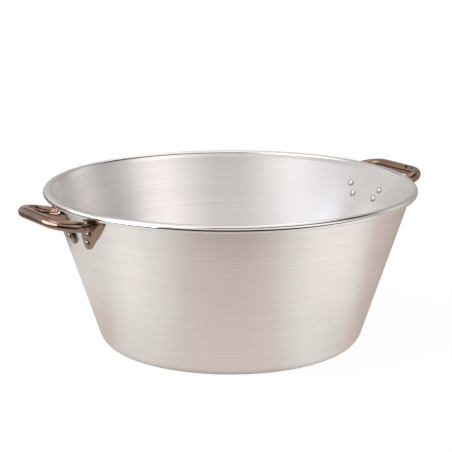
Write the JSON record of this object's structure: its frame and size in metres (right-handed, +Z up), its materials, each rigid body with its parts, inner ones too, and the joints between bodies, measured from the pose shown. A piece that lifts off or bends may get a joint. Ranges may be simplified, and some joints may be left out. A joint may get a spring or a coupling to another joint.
{
  "type": "jam pan",
  "caption": "Wide spun aluminium jam pan with a wall that leans out, a rolled rim and a hollow tube handle riveted on each side.",
  "frame": {"origin": "centre of the base, at the level of the surface that the pan stands on", "axes": "+Z up through the mouth of the pan, +X towards one handle and -X towards the other"},
  "size_m": [0.4348, 0.3668, 0.158],
  "materials": {
    "pan_aluminium": "satin, with fine turned lines round the pan",
    "handle_steel": "polished, with a warm bronze tint",
    "rivet_aluminium": "bright, smooth domed heads"
  },
  "bodies": {
    "root": {"pan_body": "pan_aluminium", "handle_right_tube": "handle_steel", "handle_left_tube": "handle_steel", "handle_right_plate_front": "handle_steel", "handle_right_plate_back": "handle_steel", "handle_left_plate_front": "handle_steel", "handle_left_plate_back": "handle_steel", "rivet_right_front_upper": "rivet_aluminium", "rivet_right_front_lower": "rivet_aluminium", "rivet_right_back_upper": "rivet_aluminium", "rivet_right_back_lower": "rivet_aluminium", "rivet_left_front_upper": "rivet_aluminium", "rivet_left_front_lower": "rivet_aluminium", "rivet_left_back_upper": "rivet_aluminium", "rivet_left_back_lower": "rivet_aluminium"}
  },
  "joints": []
}
